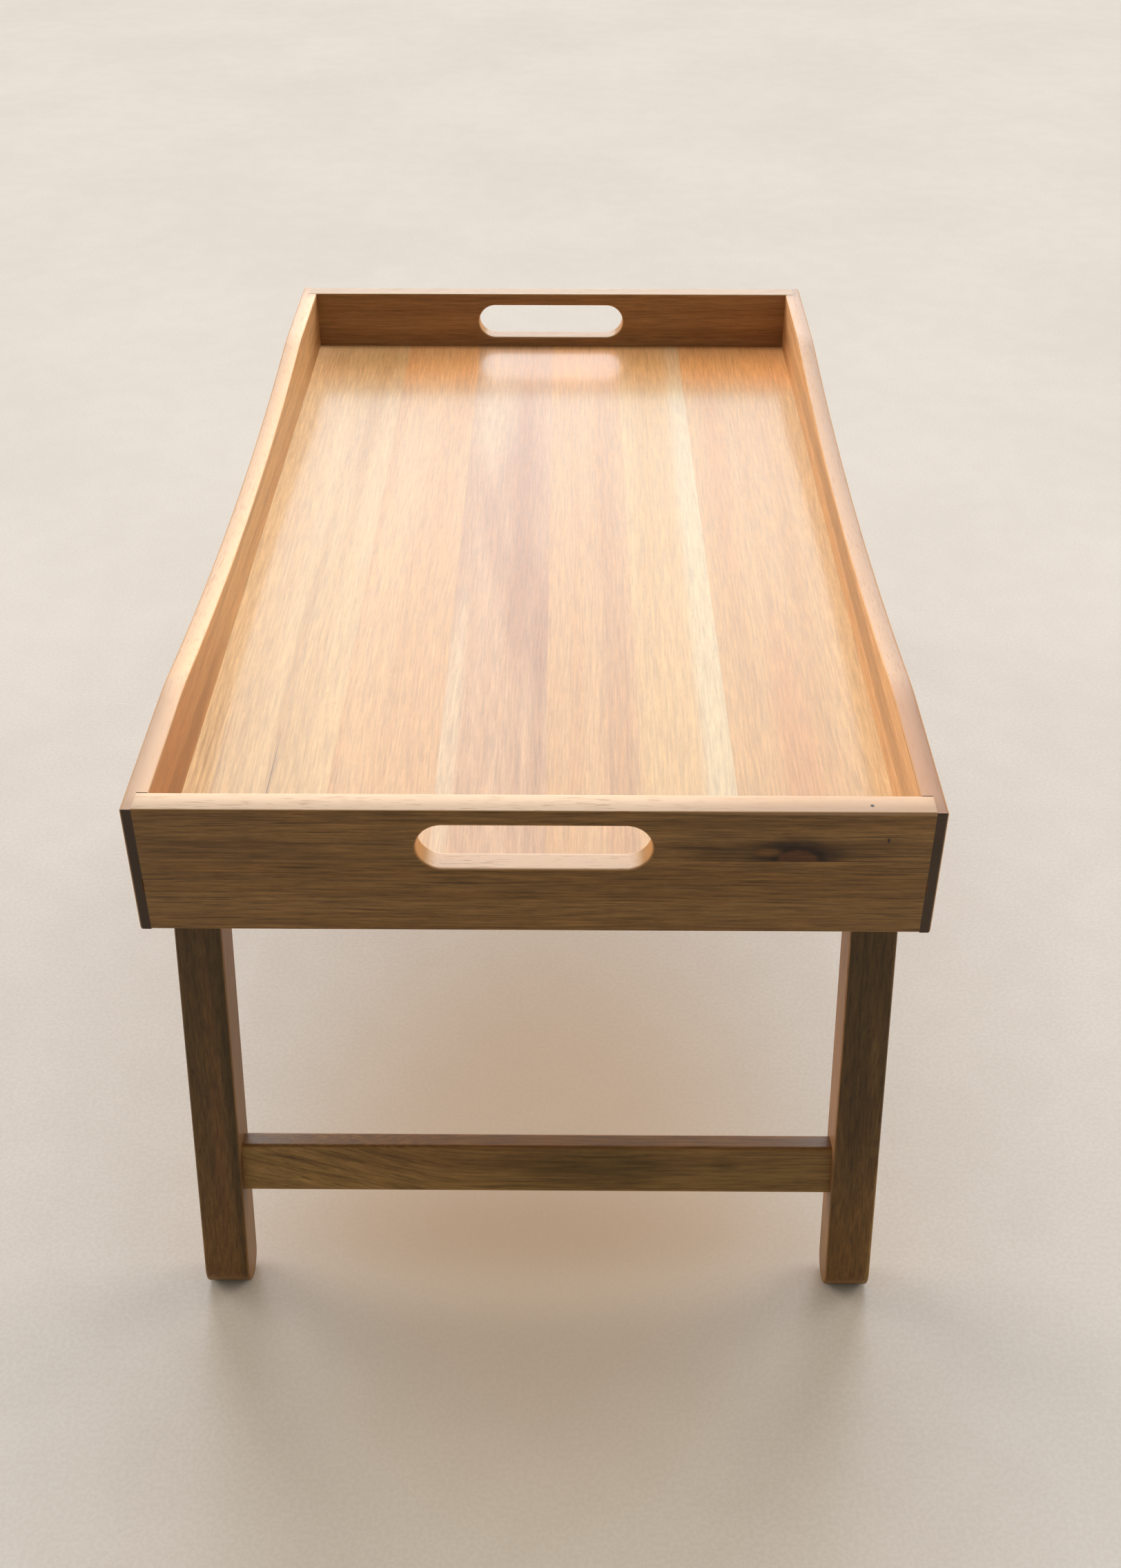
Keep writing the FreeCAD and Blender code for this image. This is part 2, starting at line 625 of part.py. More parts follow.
pieces = [
    side_board("left_side_board", LEFT),
    side_board("right_side_board", RIGHT),
]
for end_name, end in (("near", NEAR), ("far", FAR)):
    pieces.append(end_panel_strip(f"{end_name}_end_upper_strip", end, is_upper=True))
    pieces.append(end_panel_strip(f"{end_name}_end_lower_strip", end, is_upper=False))
for number in range(1, STAVE_COUNT + 1):
    pieces.append(floor_stave(f"floor_stave_{number}", number))
pieces.append(corner_brads())

for end_name, end in (("near", NEAR), ("far", FAR)):
    pieces.append(leg(f"{end_name}_left_leg", end, LEFT))
    pieces.append(leg(f"{end_name}_right_leg", end, RIGHT))
    pieces.append(stretcher(f"{end_name}_stretcher", end))
    pieces.append(frame_dowels(f"{end_name}_frame_dowels", end))

pieces.append(pivot_rings("pivot_inserts", "Derived.side_inner", "Sizes.insert_diameter",
                          "Sizes.screw_diameter + 2 * Sizes.thread_play", "Sizes.insert_length"))
pieces.append(pivot_rings("spacer_washers", "Derived.leg_outer + Sizes.hardware_play",
                          "Sizes.washer_diameter",
                          "Sizes.screw_diameter + 2 * Sizes.running_play",
                          "(Sizes.leg_gap - 2 * Sizes.hardware_play)"))
pieces.append(pivot_rings("head_washers", screw_seat(), "Sizes.washer_diameter",
                          "Sizes.screw_diameter + 2 * Sizes.running_play",
                          "Sizes.washer_thickness"))
screws = [pivot_screw(f"pivot_screw_{i}", end, side)
          for i, (end, side) in enumerate(CORNERS, start=1)]
pieces.append(group("pivot_screws", screws))
doc.recompute()

# --------------------------------------------------- checks and writing

for item in doc.Objects:
    if {"Invalid", "Error"} & set(item.State):
        raise RuntimeError(f"{item.Label} failed: {item.State}")
for piece in pieces:
    if piece.Shape.isNull() or not piece.Shape.isValid():
        raise RuntimeError(f"{piece.Label} has no valid shape")

os.makedirs("parts", exist_ok=True)
for piece in pieces:
    piece.Shape.exportStep(os.path.join("parts", f"{piece.Label}.step"))
    print(f"{piece.Label}: {len(piece.Shape.Solids)} solid(s), {piece.Shape.Volume / 1000:.2f} cm3")
print(f"splay {derived.splay}, pivot {derived.pivot_z:.3f}, rim {derived.rim_z:.3f}")
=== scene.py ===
import math

import bmesh
import bpy
from mathutils import Matrix, Vector


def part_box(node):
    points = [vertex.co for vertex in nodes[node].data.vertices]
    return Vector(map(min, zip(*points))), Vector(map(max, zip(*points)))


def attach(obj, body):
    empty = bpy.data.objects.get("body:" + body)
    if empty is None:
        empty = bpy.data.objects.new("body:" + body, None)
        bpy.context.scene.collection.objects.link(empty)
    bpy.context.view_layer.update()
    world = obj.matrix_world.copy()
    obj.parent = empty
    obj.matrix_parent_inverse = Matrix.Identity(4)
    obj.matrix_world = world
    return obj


# Looks for the bed tray table: oiled and lacquered acacia, each board with a
# figure of its own, turned metal at the pivots, dots of filler over the brads,
# and a backlit studio.
#
# Metres, +Z up, the near end towards -Y. Patterns are laid out in millimetres.

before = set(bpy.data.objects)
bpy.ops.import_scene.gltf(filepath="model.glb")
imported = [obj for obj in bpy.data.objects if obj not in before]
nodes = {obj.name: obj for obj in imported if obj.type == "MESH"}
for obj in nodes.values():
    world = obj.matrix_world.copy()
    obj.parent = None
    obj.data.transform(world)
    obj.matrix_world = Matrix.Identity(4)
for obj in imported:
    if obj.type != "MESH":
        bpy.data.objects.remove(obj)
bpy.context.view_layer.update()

MM = 0.001
NEAR, FAR = -1, 1
LEFT, RIGHT = -1, 1

# ------------------------------------------------- measured from the frame

leg_low, leg_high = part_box("near_left_leg")
rung_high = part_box("near_stretcher")[1]
RIM_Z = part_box("near_end_upper_strip")[1].z
SIDE_FACE_X = -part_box("left_side_board")[0].x
TRAY_FLOOR_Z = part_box("floor_stave_1")[1].z

LEG_DEPTH = 22 * MM
PIVOT_Y = -leg_high.y - LEG_DEPTH / 2
PIVOT_Z = leg_high.z - LEG_DEPTH / 2
FOOT_Y = -leg_low.y - LEG_DEPTH / 2
SPLAY = math.atan2(FOOT_Y - PIVOT_Y, PIVOT_Z - LEG_DEPTH / 2)

# ------------------------------------------------------------ node helpers


def put(tree, kind, settings=None, **sockets):
    """New node; its sockets take a value, or a link from another node's output."""
    made = tree.nodes.new(kind)
    for name, setting in (settings or {}).items():
        setattr(made, name, setting)
    for name, given in sockets.items():
        wire(tree, given, made.inputs[name.replace("_", " ")])
    return made


def wire(tree, given, socket):
    """Value or link put on a socket."""
    if isinstance(given, bpy.types.NodeSocket):
        tree.links.new(given, socket)
    else:
        socket.default_value = given


def calc(tree, operation, *terms):
    """Result of a Math node."""
    made = tree.nodes.new("ShaderNodeMath")
    made.operation = operation
    for term, socket in zip(terms, made.inputs):
        wire(tree, term, socket)
    return made.outputs["Value"]


def vector_calc(tree, operation, *terms):
    """Vector result of a Vector Math node."""
    made = tree.nodes.new("ShaderNodeVectorMath")
    made.operation = operation
    for term, socket in zip(terms, made.inputs):
        wire(tree, term, socket)
    return made.outputs["Vector"]


def times(tree, vector, factor):
    """Vector scaled by a value."""
    made = put(tree, "ShaderNodeVectorMath", {"operation": "SCALE"}, Scale=factor)
    wire(tree, vector, made.inputs[0])
    return made.outputs["Vector"]


def reach(tree, vector):
    """Length of a vector."""
    made = put(tree, "ShaderNodeVectorMath", {"operation": "LENGTH"})
    wire(tree, vector, made.inputs[0])
    return made.outputs["Value"]


def remap(tree, given, low, high, to_low=0.0, to_high=1.0, smooth=True):
    """Value eased from one range into another."""
    kind = "SMOOTHSTEP" if smooth else "LINEAR"
    made = put(tree, "ShaderNodeMapRange", {"interpolation_type": kind, "clamp": True},
               Value=given, From_Min=low, From_Max=high, To_Min=to_low, To_Max=to_high)
    return made.outputs["Result"]


def tint(tree, mask, under, over, mode="MIX"):
    """One colour laid over another through a mask."""
    made = tree.nodes.new("ShaderNodeMix")
    made.data_type = "RGBA"
    made.blend_type = mode
    wire(tree, mask, made.inputs[0])
    wire(tree, under, made.inputs[6])
    wire(tree, over, made.inputs[7])
    return made.outputs[2]


def noise(tree, place, size, detail=2.0, roughness=0.5):
    """Soft noise whose lumps have these sizes in millimetres."""
    scaled = vector_calc(tree, "DIVIDE", place, size)
    made = put(tree, "ShaderNodeTexNoise", {"noise_dimensions": "3D"},
               Vector=scaled, Scale=1.0, Detail=detail, Roughness=roughness)
    return made.outputs["Fac"]


def new_group(name, inputs, outputs):
    """Shader node group with named sockets; gives the tree, its inputs and its output node."""
    tree = bpy.data.node_groups.new(name, "ShaderNodeTree")
    for socket_name, kind, default in inputs:
        socket = tree.interface.new_socket(socket_name, in_out="INPUT", socket_type=kind)
        socket.default_value = default
    for socket_name, kind in outputs:
        tree.interface.new_socket(socket_name, in_out="OUTPUT", socket_type=kind)
    given = tree.nodes.new("NodeGroupInput").outputs
    result = tree.nodes.new("NodeGroupOutput").inputs
    return tree, given, result


def use_group(tree, group, **sockets):
    """Group placed in a material with its own values."""
    return put(tree, "ShaderNodeGroup", {"node_tree": group}, **sockets).outputs


FLOAT, VECTOR = "NodeSocketFloat", "NodeSocketVector"

# ------------------------------------------------------------- wood groups

# Millimetres: growth ring to growth ring, how far the grain strays, and one
# turning mark to the next.
RING_PITCH = 6
WANDER = 6
TURNING_PITCH = 0.14


def make_grain_group():
    """Acacia as it is sawn: Place has X across, Y along the grain and Z deep, in millimetres."""
    tree, given, result = new_group(
        "acacia grain",
        [("Place", VECTOR, (0, 0, 0)), ("Heart", VECTOR, (0, 0, -90)),
         ("Streak Width", FLOAT, 9), ("Line Length", FLOAT, 150)],
        [("Rings", FLOAT), ("Streaks", FLOAT), ("Lines", FLOAT), ("Fibres", FLOAT),
         ("Pores", FLOAT), ("Height", FLOAT)])
    place = given["Place"]

    drift = put(tree, "ShaderNodeTexNoise", {"noise_dimensions": "3D"},
                Vector=vector_calc(tree, "DIVIDE", place, (70, 260, 70)),
                Scale=1.0, Detail=2.0, Roughness=0.45).outputs["Color"]
    centred = vector_calc(tree, "SUBTRACT", drift, (0.5, 0.5, 0.5))
    sideways = vector_calc(tree, "MULTIPLY", centred, (1, 0, 1))
    flowing = vector_calc(tree, "ADD", place, times(tree, sideways, WANDER))

    from_heart = vector_calc(tree, "SUBTRACT", flowing, given["Heart"])
    flattened = vector_calc(tree, "MULTIPLY", from_heart, (1, 0.02, 1))
    radius = calc(tree, "DIVIDE", reach(tree, flattened), RING_PITCH)
    bands = put(tree, "ShaderNodeTexNoise", {"noise_dimensions": "1D"},
                W=radius, Scale=1.0, Detail=3.0, Roughness=0.55).outputs["Fac"]
    rings = remap(tree, bands, 0.36, 0.66)

    broad = put(tree, "ShaderNodeCombineXYZ", X=given["Streak Width"], Y=420.0,
                Z=given["Streak Width"]).outputs[0]
    streaks = remap(tree, noise(tree, flowing, broad, detail=3.0, roughness=0.55), 0.34, 0.66)

    thin = put(tree, "ShaderNodeCombineXYZ", X=0.8, Y=given["Line Length"], Z=0.8).outputs[0]
    lines = remap(tree, noise(tree, flowing, thin, detail=2.0, roughness=0.6), 0.56, 0.72)

    fine = noise(tree, flowing, (1.0, 22, 1.0), detail=3.0, roughness=0.7)
    fibres = remap(tree, fine, 0.3, 0.7, smooth=False)

    vessel = noise(tree, flowing, (0.5, 11, 0.5), detail=1.0, roughness=0.5)
    crowd = noise(tree, flowing, (5, 60, 5), detail=2.0)
    threshold = remap(tree, crowd, 0.35, 0.65, 0.66, 0.56, smooth=False)
    pores = remap(tree, calc(tree, "SUBTRACT", vessel, threshold), 0.0, 0.05)

    height = calc(tree, "SUBTRACT", calc(tree, "MULTIPLY", fibres, 0.35), pores)
    for name, made in (("Rings", rings), ("Streaks", streaks), ("Lines", lines),
                       ("Fibres", fibres), ("Pores", pores), ("Height", height)):
        wire(tree, made, result[name])
    return tree


def make_patch_group():
    """Soft-edged oval: 1 inside, 0 outside, its edge ruffled along the grain."""
    tree, given, result = new_group(
        "figure patch",
        [("Place", VECTOR, (0, 0, 0)), ("Centre", VECTOR, (0, 0, 0)), ("Radii", VECTOR, (10, 50, 10)),
         ("Softness", FLOAT, 0.4), ("Ruffle", FLOAT, 0.3), ("Lean", FLOAT, 0.0)],
        [("Mask", FLOAT)])
    offset = vector_calc(tree, "SUBTRACT", given["Place"], given["Centre"])
    split = put(tree, "ShaderNodeSeparateXYZ", Vector=offset).outputs
    drift = calc(tree, "MULTIPLY", split["Y"], given["Lean"])
    leaned = put(tree, "ShaderNodeCombineXYZ", X=calc(tree, "SUBTRACT", split["X"], drift),
                 Y=split["Y"], Z=calc(tree, "SUBTRACT", split["Z"], drift)).outputs[0]
    ruffle = calc(tree, "SUBTRACT", noise(tree, given["Place"], (2.2, 40, 2.2), detail=3.0), 0.5)
    from_centre = reach(tree, vector_calc(tree, "DIVIDE", leaned, given["Radii"]))
    distance = calc(tree, "ADD", from_centre, calc(tree, "MULTIPLY", ruffle, given["Ruffle"]))
    start = calc(tree, "SUBTRACT", 1.0, given["Softness"])
    stop = calc(tree, "ADD", 1.0, given["Softness"])
    wire(tree, remap(tree, distance, start, stop, 1.0, 0.0), result["Mask"])
    return tree


def make_knot_group():
    """Knot seen on a board's face: a round core, the dark bark round it and a soft halo."""
    tree, given, result = new_group(
        "knot",
        [("Place", VECTOR, (0, 0, 0)), ("Centre", VECTOR, (0, 0, 0)), ("Radii", VECTOR, (9, 9, 9))],
        [("Core", FLOAT), ("Bark", FLOAT), ("Halo", FLOAT)])
    offset = vector_calc(tree, "SUBTRACT", given["Place"], given["Centre"])
    wobble = calc(tree, "SUBTRACT", noise(tree, given["Place"], (5, 5, 5), detail=3.0), 0.5)
    from_centre = reach(tree, vector_calc(tree, "DIVIDE", offset, given["Radii"]))
    distance = calc(tree, "ADD", from_centre, calc(tree, "MULTIPLY", wobble, 0.45))
    wire(tree, remap(tree, distance, 0.75, 1.0, 1.0, 0.0), result["Core"])
    off_ring = calc(tree, "ABSOLUTE", calc(tree, "SUBTRACT", distance, 0.95))
    wire(tree, remap(tree, off_ring, 0.05, 0.3, 1.0, 0.0), result["Bark"])
    wire(tree, remap(tree, distance, 0.9, 2.4, 1.0, 0.0), result["Halo"])
    return tree


def make_face_group():
    """Which way a face of a board looks, from its normals along the board and in the room."""
    tree, given, result = new_group(
        "board faces", [("Along Board", VECTOR, (0, 0, 1)), ("In Room", VECTOR, (0, 0, 1))],
        [("End Grain", FLOAT), ("Arris", FLOAT), ("Upward", FLOAT)])
    sizes = put(tree, "ShaderNodeSeparateXYZ",
                Vector=vector_calc(tree, "ABSOLUTE", given["Along Board"])).outputs
    wire(tree, remap(tree, sizes["Y"], 0.55, 0.9), result["End Grain"])
    largest = calc(tree, "MAXIMUM", calc(tree, "MAXIMUM", sizes["X"], sizes["Y"]), sizes["Z"])
    wire(tree, remap(tree, largest, 0.98, 0.8), result["Arris"])
    height = put(tree, "ShaderNodeSeparateXYZ", Vector=given["In Room"]).outputs["Z"]
    wire(tree, remap(tree, height, 0.6, 0.9), result["Upward"])
    return tree


def make_metal_group():
    """Turned metal: fine rings round the pivot they lie at, and dull smudges."""
    tree, given, result = new_group(
        "turned metal", [("Place", VECTOR, (0, 0, 0)), ("Pivot", VECTOR, (0, 0, 0))],
        [("Rings", FLOAT), ("Smudges", FLOAT)])
    folded = vector_calc(tree, "ABSOLUTE", given["Place"])
    from_pivot = vector_calc(tree, "SUBTRACT", folded, given["Pivot"])
    across = vector_calc(tree, "MULTIPLY", from_pivot, (0, 1, 1))
    rings = put(tree, "ShaderNodeTexNoise", {"noise_dimensions": "1D"},
                W=calc(tree, "DIVIDE", reach(tree, across), TURNING_PITCH), Scale=1.0, Detail=2.0)
    wire(tree, rings.outputs["Fac"], result["Rings"])
    smudges = noise(tree, given["Place"], (3, 3, 3), detail=3.0)
    wire(tree, remap(tree, smudges, 0.4, 0.65), result["Smudges"])
    return tree


GRAIN = make_grain_group()
PATCH = make_patch_group()
KNOT = make_knot_group()
FACES = make_face_group()
METAL = make_metal_group()

# --------------------------------------------------------------- materials

# A radius that takes an oval right through a board.
THROUGH = 10000.0

# Turns that lay the grain along an axis of the room.
ALONG_Y = (0, 0, 0)
ALONG_X = (0, 0, math.pi / 2)


def srgb(red, green, blue):
    """Colour as a screen shows it, 0 to 255, made linear."""
    return tuple(((c / 255 + 0.055) / 1.055) ** 2.4 for c in (red, green, blue)) + (1,)


def new_material(name):
    """Empty material with a Principled shader."""
    material = bpy.data.materials.new(name)
    material.use_nodes = True
    tree = material.node_tree
    tree.nodes.clear()
    shader = tree.nodes.new("ShaderNodeBsdfPrincipled")
    output = tree.nodes.new("ShaderNodeOutputMaterial")
    tree.links.new(shader.outputs[0], output.inputs[0])
    return material, tree, shader


def in_millimetres(tree, turn=ALONG_Y):
    """The object's own place in millimetres, turned so that Y runs along the grain."""
    spot = tree.nodes.new("ShaderNodeTexCoord")
    mapped = put(tree, "ShaderNodeMapping", {"vector_type": "POINT"}, Vector=spot.outputs["Object"],
                 Scale=(1 / MM,) * 3, Rotation=turn)
    return mapped.outputs[0], spot.outputs["Normal"]


def dress(material, *names):
    """CAD nodes given a material."""
    for name in names:
        for slot in nodes[name].material_slots:
            slot.material = material


class Timber:
    """One board's wood: four tones from pale to dark, and what is laid over them.

    Places are millimetres on the board: X across, Y along the grain, Z deep. The cut says
    which part of the log the board shows, and the heart where the log's middle lies.
    """

    ROUGHNESS = 0.5
    COAT_ROUGHNESS = 0.16
    SPECULAR = 0.2
    RELIEF_DEPTH = 0.06 * MM
    END_GRAIN_SHARE = 0.96

    def __init__(self, name, turn, cut, tones, origin=(0, 0, 0), heart=(0, 0, -90), streak_width=9,
                 line_length=150, ring_share=0.3, line_share=0.15):
        self.material, self.tree, self.shader = new_material(name)
        tree = self.tree
        turned, normal = in_millimetres(tree, turn)
        self.place = vector_calc(tree, "SUBTRACT", turned, origin)
        along_board = put(tree, "ShaderNodeMapping", {"vector_type": "VECTOR"},
                          Vector=normal, Rotation=turn)
        self.faces = use_group(tree, FACES, Along_Board=along_board.outputs[0], In_Room=normal)
        self.grain = use_group(tree, GRAIN, Place=vector_calc(tree, "ADD", self.bent_place(), cut),
                               Heart=tuple(a + b for a, b in zip(cut, heart)),
                               Streak_Width=streak_width, Line_Length=line_length)
        pale, middle, deep, dark = tones
        self.colour = tint(tree, self.grain["Streaks"], middle, pale)
        self.lay(self.grain["Rings"], ring_share, deep)
        self.lay(self.grain["Lines"], line_share, dark)

    def bent_place(self):
        """Where the grain is looked up: straight along the board."""
        return self.place

    def lay(self, mask, strength, tone):
        """Another tone laid over the wood through a mask."""
        self.colour = tint(self.tree, calc(self.tree, "MULTIPLY", mask, strength), self.colour, tone)

    def patch(self, tone, strength, centre, radii, softness=0.4, ruffle=0.3, lean=0.0):
        """Oval of another tone on the board; lean shifts it sideways as it runs along the grain."""
        mask = use_group(self.tree, PATCH, Place=self.place, Centre=centre, Radii=radii,
                         Softness=softness, Ruffle=ruffle, Lean=lean)["Mask"]
        self.lay(mask, strength, tone)

    def knot(self, centre, radii, core, bark, halo_strength):
        """Knot with a dark ring of bark and a halo, at a place on the board."""
        masks = use_group(self.tree, KNOT, Place=self.place, Centre=centre, Radii=radii)
        self.lay(masks["Halo"], halo_strength, bark)
        self.lay(masks["Core"], 0.8, core)
        self.lay(masks["Bark"], 0.75, bark)

    def finish(self, rim=None, rim_share=0.0, pore_share=0.34, fibre_depth=0.45, arris_highlight=0.3, coat=0.24,
               end_tone=None, marks=()):
        """Fibres, rim tone of the upward faces (the top's own colour with painted light and shade),
        pores, marks on the rim, end grain, painted arris highlights and the satin lacquer.
        """
        tree, grain, faces = self.tree, self.grain, self.faces
        shade = remap(tree, grain["Fibres"], 0.0, 1.0, 1 - 0.6 * fibre_depth, 1 + 0.5 * fibre_depth,
                      smooth=False)
        shaded = put(tree, "ShaderNodeCombineXYZ", X=shade, Y=shade, Z=shade).outputs[0]
        self.colour = tint(tree, 1.0, self.colour, shaded, mode="MULTIPLY")
        # Upward faces take a tone of their own: the top's colour with painted light and shade, set
        # apart from the board's sides.
        if rim:
            self.lay(faces["Upward"], rim_share, rim)
        self.colour = tint(tree, calc(tree, "MULTIPLY", grain["Pores"], pore_share), self.colour,
                           PORE_SHADE, mode="MULTIPLY")
        for tone, strength, centre, radii, softness in marks:
            self.patch(tone, strength, centre, radii, softness)
        self.lay(faces["End Grain"], self.END_GRAIN_SHARE, end_tone or END_TONE)
        # Painted highlight along the rounded arrises, where the back light grazes them.
        self.lay(faces["Arris"], arris_highlight, PAINTED_ARRIS_HIGHLIGHT)
        wire(tree, self.colour, self.shader.inputs["Base Color"])
        rough = remap(tree, grain["Fibres"], 0.0, 1.0, self.ROUGHNESS - 0.06, self.ROUGHNESS + 0.08,
                      smooth=False)
        wire(tree, rough, self.shader.inputs["Roughness"])
        lacquer = calc(tree, "SUBTRACT", coat, calc(tree, "MULTIPLY", faces["End Grain"], 0.8 * coat))
        wire(tree, lacquer, self.shader.inputs["Coat Weight"])
        self.shader.inputs["Coat Roughness"].default_value = self.COAT_ROUGHNESS
        self.shader.inputs["Specular IOR Level"].default_value = self.SPECULAR
        relief = put(tree, "ShaderNodeBump", Strength=0.25, Distance=self.RELIEF_DEPTH,
                     Height=grain["Height"])
        wire(tree, relief.outputs[0], self.shader.inputs["Normal"])
        return self.material


class SlopingTimber(Timber):
    """Wood whose grain runs aslant up to a place along the board."""

    SLOPE_END = -45.0
    SLOPE = 0.3
    BEND = 30.0

    def bent_place(self):
        """Where the grain is looked up: sheared before the place where it turns straight."""
        tree = self.tree
        along = put(tree, "ShaderNodeSeparateXYZ", Vector=self.place).outputs["Y"]
        past_end = calc(tree, "SUBTRACT", along, self.SLOPE_END)
        before = calc(tree, "SMOOTH_MIN", past_end, 0.0, self.BEND)
        rise = calc(tree, "MULTIPLY", before, self.SLOPE)
        lift = put(tree, "ShaderNodeCombineXYZ", Z=rise).outputs[0]
        return vector_calc(tree, "ADD", self.place, lift)


# Tones that several pieces share.
PORE = srgb(116, 76, 48)
PORE_SHADE = (0.5, 0.4, 0.34, 1)
END_TONE = srgb(60, 50, 41)
# Painted highlight for the arrises.
PAINTED_ARRIS_HIGHLIGHT = srgb(196, 150, 98)
BARK = srgb(52, 33, 22)

# ------------------------------------------------------------- tray floor

STAVE_TONES = {
    1: (srgb(182, 152, 112), srgb(175, 143, 102), srgb(157, 121, 86)),
    2: (srgb(179, 144, 105), srgb(174, 138, 99), srgb(160, 119, 82)),
    3: (srgb(171, 138, 108), srgb(163, 129, 99), srgb(142, 107, 82)),
    4: (srgb(178, 145, 106), srgb(172, 136, 97), srgb(156, 118, 84)),
    5: (srgb(180, 150, 108), srgb(174, 142, 100), srgb(160, 124, 85)),
    6: (srgb(178, 144, 102), srgb(172, 137, 95), srgb(157, 117, 78)),
    7: (srgb(180, 146, 104), srgb(174, 139, 97), srgb(158, 118, 79)),
}
HONEY = srgb(186, 157, 117)
CREAM = srgb(178, 159, 128)
# Painted light along the floor's edges, lifting the shade that the side walls cast.
PAINTED_LIGHT_BY_WALL = srgb(204, 170, 128)
SMOKE = srgb(128, 92, 70)
MAUVE = srgb(138, 98, 74)
GREY_STRIP = srgb(178, 154, 124)
RUSSET = srgb(166, 98, 56)
OLIVE = srgb(158, 122, 66)
# Amber: painted shade and reflection of the far wall on the tray floor.
PAINTED_FAR_SHADE_AND_REFLECTION = srgb(212, 142, 80)
# Umber: dark tone, used as painted shade at the far wall's foot and as a tone on the left wall.
UMBER = srgb(128, 84, 48)
CRACK = srgb(70, 62, 58)


def figure_of_stave_1(wood):
    """Painted light along the wall edge, honey bands, a grey streak with a fine crack, and dark threads
    beside the wall.
    """
    # Painted light along the left wall's edge.
    wood.patch(PAINTED_LIGHT_BY_WALL, 0.55, (-162, 0, 0), (13, THROUGH, THROUGH), softness=0.9, ruffle=0.2)
    wood.patch(HONEY, 0.4, (-133, 0, 0), (8, 420, THROUGH), softness=0.5)
    wood.patch(HONEY, 0.5, (-102, -60, 0), (6, 330, THROUGH), softness=0.45)
    wood.patch(SMOKE, 0.16, (-122.5, -140, 0), (3, 210, THROUGH), softness=0.7, ruffle=0.6)
    wood.patch(SMOKE, 0.18, (-116, 150, 0), (6, 70, THROUGH), softness=0.7)
    wood.patch(OLIVE, 0.2, (-121, 245, 0), (20, 60, THROUGH), softness=0.5)
    wood.patch(CRACK, 0.7, (-121.8, -236, 0), (0.28, 42, THROUGH), softness=0.6, ruffle=0.1)
    threads = ((-157, 70, 0.3), (-153.5, 95, 0.34), (-150.8, 60, 0.26), (-147, 80, 0.3))
    for x, half_length, strength in threads:
        wood.patch(SMOKE, strength, (x, -235, 0), (0.7, half_length, THROUGH), softness=0.6, ruffle=0.5)


def figure_of_stave_3(wood):
    """The brown board: a flame that sweeps right, dark threads and a grey edge strip."""
    wood.patch(MAUVE, 0.5, (-17, 110, 0), (13, 120, THROUGH), softness=0.6, lean=-0.05)
    wood.patch(MAUVE, 0.5, (-8, -70, 0), (13, 75, THROUGH), softness=0.55, lean=-0.06)
    wood.patch(MAUVE, 0.4, (-30, 20, 0), (6, 75, THROUGH), softness=0.6, lean=-0.1)
    wood.patch(SMOKE, 0.3, (-1.5, -190, 0), (3, 110, THROUGH), softness=0.6, ruffle=0.8)
    wood.patch(SMOKE, 0.22, (-10, -240, 0), (2, 90, THROUGH), softness=0.7, ruffle=0.8)
    wood.patch(GREY_STRIP, 0.75, (-42.5, -200, 0), (4.5, 130, THROUGH), softness=0.5)
    wood.patch(GREY_STRIP, 0.5, (-34, 190, 0), (13, 90, THROUGH), softness=0.6)


def figure_of_stave_4(wood):
    """Mauve threads along its right side, darker towards the near end."""
    wood.patch(MAUVE, 0.18, (38, -120, 0), (7, 240, THROUGH), softness=0.9)
    wood.patch(SMOKE, 0.2, (33.5, -215, 0), (1.0, 110, THROUGH), softness=0.6, ruffle=0.8)
    wood.patch(SMOKE, 0.16, (42.5, -200, 0), (1.0, 130, THROUGH), softness=0.6, ruffle=0.8)
    wood.patch(MAUVE, 0.14, (36, 120, 0), (4, 110, THROUGH), softness=0.8)


def figure_of_stave_5(wood):
    """A cream strip of sapwood along its right side."""
    wood.patch(OLIVE, 0.15, (60, 120, 0), (11, 230, THROUGH), softness=0.6)
    wood.patch(CREAM, 0.85, (86, 0, 0), (9, 900, THROUGH), softness=0.4, ruffle=0.25, lean=0.003)


def figure_of_stave_6(wood):
    """A russet flame at the near end."""
    wood.patch(RUSSET, 0.26, (121, -225, 0), (9, 130, THROUGH), softness=0.6, ruffle=0.5)
    wood.patch(RUSSET, 0.2, (104, 120, 0), (6, 150, THROUGH), softness=0.7)


def figure_of_stave_7(wood):
    """A paler middle, and painted light along the edge by the wall."""
    # Painted light along the right wall's edge.
    wood.patch(PAINTED_LIGHT_BY_WALL, 0.3, (162, 0, 0), (11, THROUGH, THROUGH), softness=0.9, ruffle=0.2)
    wood.patch(HONEY, 0.3, (147, -100, 0), (7, 150, THROUGH), softness=0.6)


STAVE_FIGURES = {1: figure_of_stave_1, 3: figure_of_stave_3, 4: figure_of_stave_4,
                 5: figure_of_stave_5, 6: figure_of_stave_6, 7: figure_of_stave_7}
STAVE_LINES = {1: 0.13, 2: 0.07, 3: 0.14, 4: 0.12, 5: 0.08, 6: 0.08, 7: 0.08}
# Strength on each stave of the painted shade and reflection of the far wall, and of the painted shade
# at the wall's foot.
STAVE_FAR_SHADE_AND_REFLECTION = {1: 0.22, 2: 0.48, 3: 0.2, 4: 0.38, 5: 0.32, 6: 0.56, 7: 0.64}
STAVE_WALL_FOOT_SHADE = {1: 0.15, 2: 0.3, 3: 0.3, 4: 0.35, 5: 0.42, 6: 0.55, 7: 0.65}


